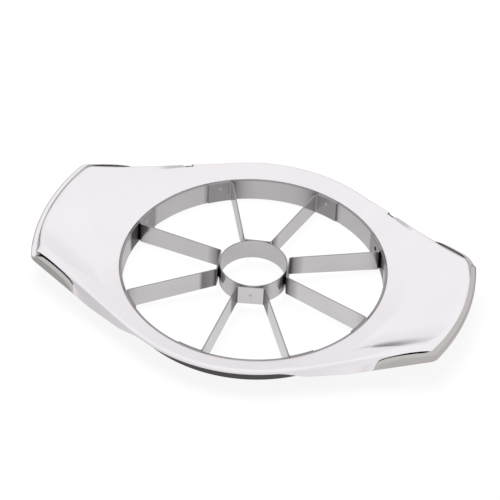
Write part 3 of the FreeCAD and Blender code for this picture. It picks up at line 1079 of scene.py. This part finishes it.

# %% [markdown]
# Floor, lamps and surroundings
#
# Polished metal shows what stands round it, so the surroundings matter more than the
# lamps. The floor and the sky are white to the eye and pale in the metal. The sky is
# duller toward the far left, and the floor carries painted shade there that only the
# metal sees; this gives the raised edges their grey lines. One large soft lamp hangs
# over the floor, and only its light is seen, not its disc.

# %% Floor
def pale_floor():
    material, web = new_metal("pale_floor")
    haze = cloud(web, 3.0)
    colour = mix_colours(web, haze, (0.90, 0.90, 0.90), (0.94, 0.94, 0.94))
    matt = web.node("ShaderNodeBsdfPrincipled", {}, {"Base Color": colour, "Roughness": 0.9})
    glow = web.node("ShaderNodeEmission", {}, {"Color": (1, 1, 1, 1), "Strength": 1.0})
    seen = web.node("ShaderNodeLightPath", {}, {}, "Is Camera Ray")
    surface = web.node("ShaderNodeMixShader", {}, {0: seen * 0.9, 1: matt, 2: glow})
    spot = web.node("ShaderNodeTexCoord", {}, {}, "Object")
    east, north = (web.node("ShaderNodeSeparateXYZ", {}, {0: spot}, axis) for axis in "XY")
    # painted shade on the floor as the metal sees it: darker toward the back and the left
    lit_front = ((east * 0.5 - north + 0.01) * 9.0).clamped()
    tone = mix_colours(web, lit_front, (0.62, 0.605, 0.61), (0.92, 0.91, 0.91))
    floor_shade_in_metal = web.node("ShaderNodeEmission", {}, {"Color": tone, "Strength": 1.0})
    glossy = web.node("ShaderNodeLightPath", {}, {}, "Is Glossy Ray")
    web.finish("ShaderNodeOutputMaterial",
               web.node("ShaderNodeMixShader", {}, {0: glossy, 1: surface, 2: floor_shade_in_metal}))
    return material


floor_mesh = bpy.data.meshes.new("floor")
floor_mesh.from_pydata([(-4, -4, 0), (4, -4, 0), (4, 4, 0), (-4, 4, 0)], [], [(0, 1, 2, 3)])
floor_mesh.materials.append(pale_floor())
floor = bpy.data.objects.new("floor", floor_mesh)
bpy.context.scene.collection.objects.link(floor)
print("floor is", floor.dimensions.x, "m wide")


# %% Lamp
def softbox(name, place, size, power):
    lamp = bpy.data.lights.new(name, "AREA")
    lamp.shape, lamp.size, lamp.energy = "DISK", size, power
    holder = bpy.data.objects.new(name, lamp)
    holder.location = place
    holder.rotation_mode = "QUATERNION"
    holder.rotation_quaternion = (-Vector(place)).to_track_quat("-Z", "Y")
    holder.visible_glossy = False
    bpy.context.scene.collection.objects.link(holder)
    return holder


lamp = softbox("overhead_softbox", place=(-0.15, 0.1, 0.9), size=0.7, power=9.0)
print("lamp hangs at", [round(v, 2) for v in lamp.location])

# %% Sky
world = bpy.data.worlds.new("studio")
bpy.context.scene.world = world
world.use_nodes = True
world.node_tree.nodes.clear()
sky = Web(world.node_tree)
bright_stops = [(0.0, (0.80, 0.79, 0.79)), (0.25, (0.95, 0.95, 0.95)), (0.5, (1, 1, 1))]
dusky_stops = [(0.0, (0.04, 0.04, 0.04)), (0.06, (0.15, 0.14, 0.14)), (0.12, (0.45, 0.44, 0.45)),
               (0.19, (0.84, 0.83, 0.84)), (0.26, (0.92, 0.915, 0.92)), (0.47, (0.94, 0.935, 0.94)),
               (0.62, (1, 1, 1))]
dusky_way = (-0.55, 0.83, 0)
way = sky.node("ShaderNodeTexCoord", {}, {}, "Generated")
height = sky.node("ShaderNodeSeparateXYZ", {}, {0: way}, "Z")
bright = sky.node("ShaderNodeValToRGB", {"stops": bright_stops}, {0: height})
dusky = sky.node("ShaderNodeValToRGB", {"stops": dusky_stops}, {0: height})
toward = sky.node("ShaderNodeVectorMath", {"operation": "DOT_PRODUCT"}, {0: way, 1: dusky_way}, "Value")
tone = mix_colours(sky, ((toward - 0.1) * 1.8).clamped(), bright, dusky)
eye, mirror, glass = (sky.node("ShaderNodeLightPath", {}, {}, "Is " + kind + " Ray")
                      for kind in ("Camera", "Glossy", "Transmission"))
seen = (eye + mirror + glass).clamped()
glow = sky.node("ShaderNodeBackground", {}, {"Color": tone, "Strength": 0.45 + 0.55 * seen})
sky.finish("ShaderNodeOutputWorld", glow)
bpy.context.scene.view_settings.view_transform = "Standard"
print("sky has", len(world.node_tree.nodes), "nodes")
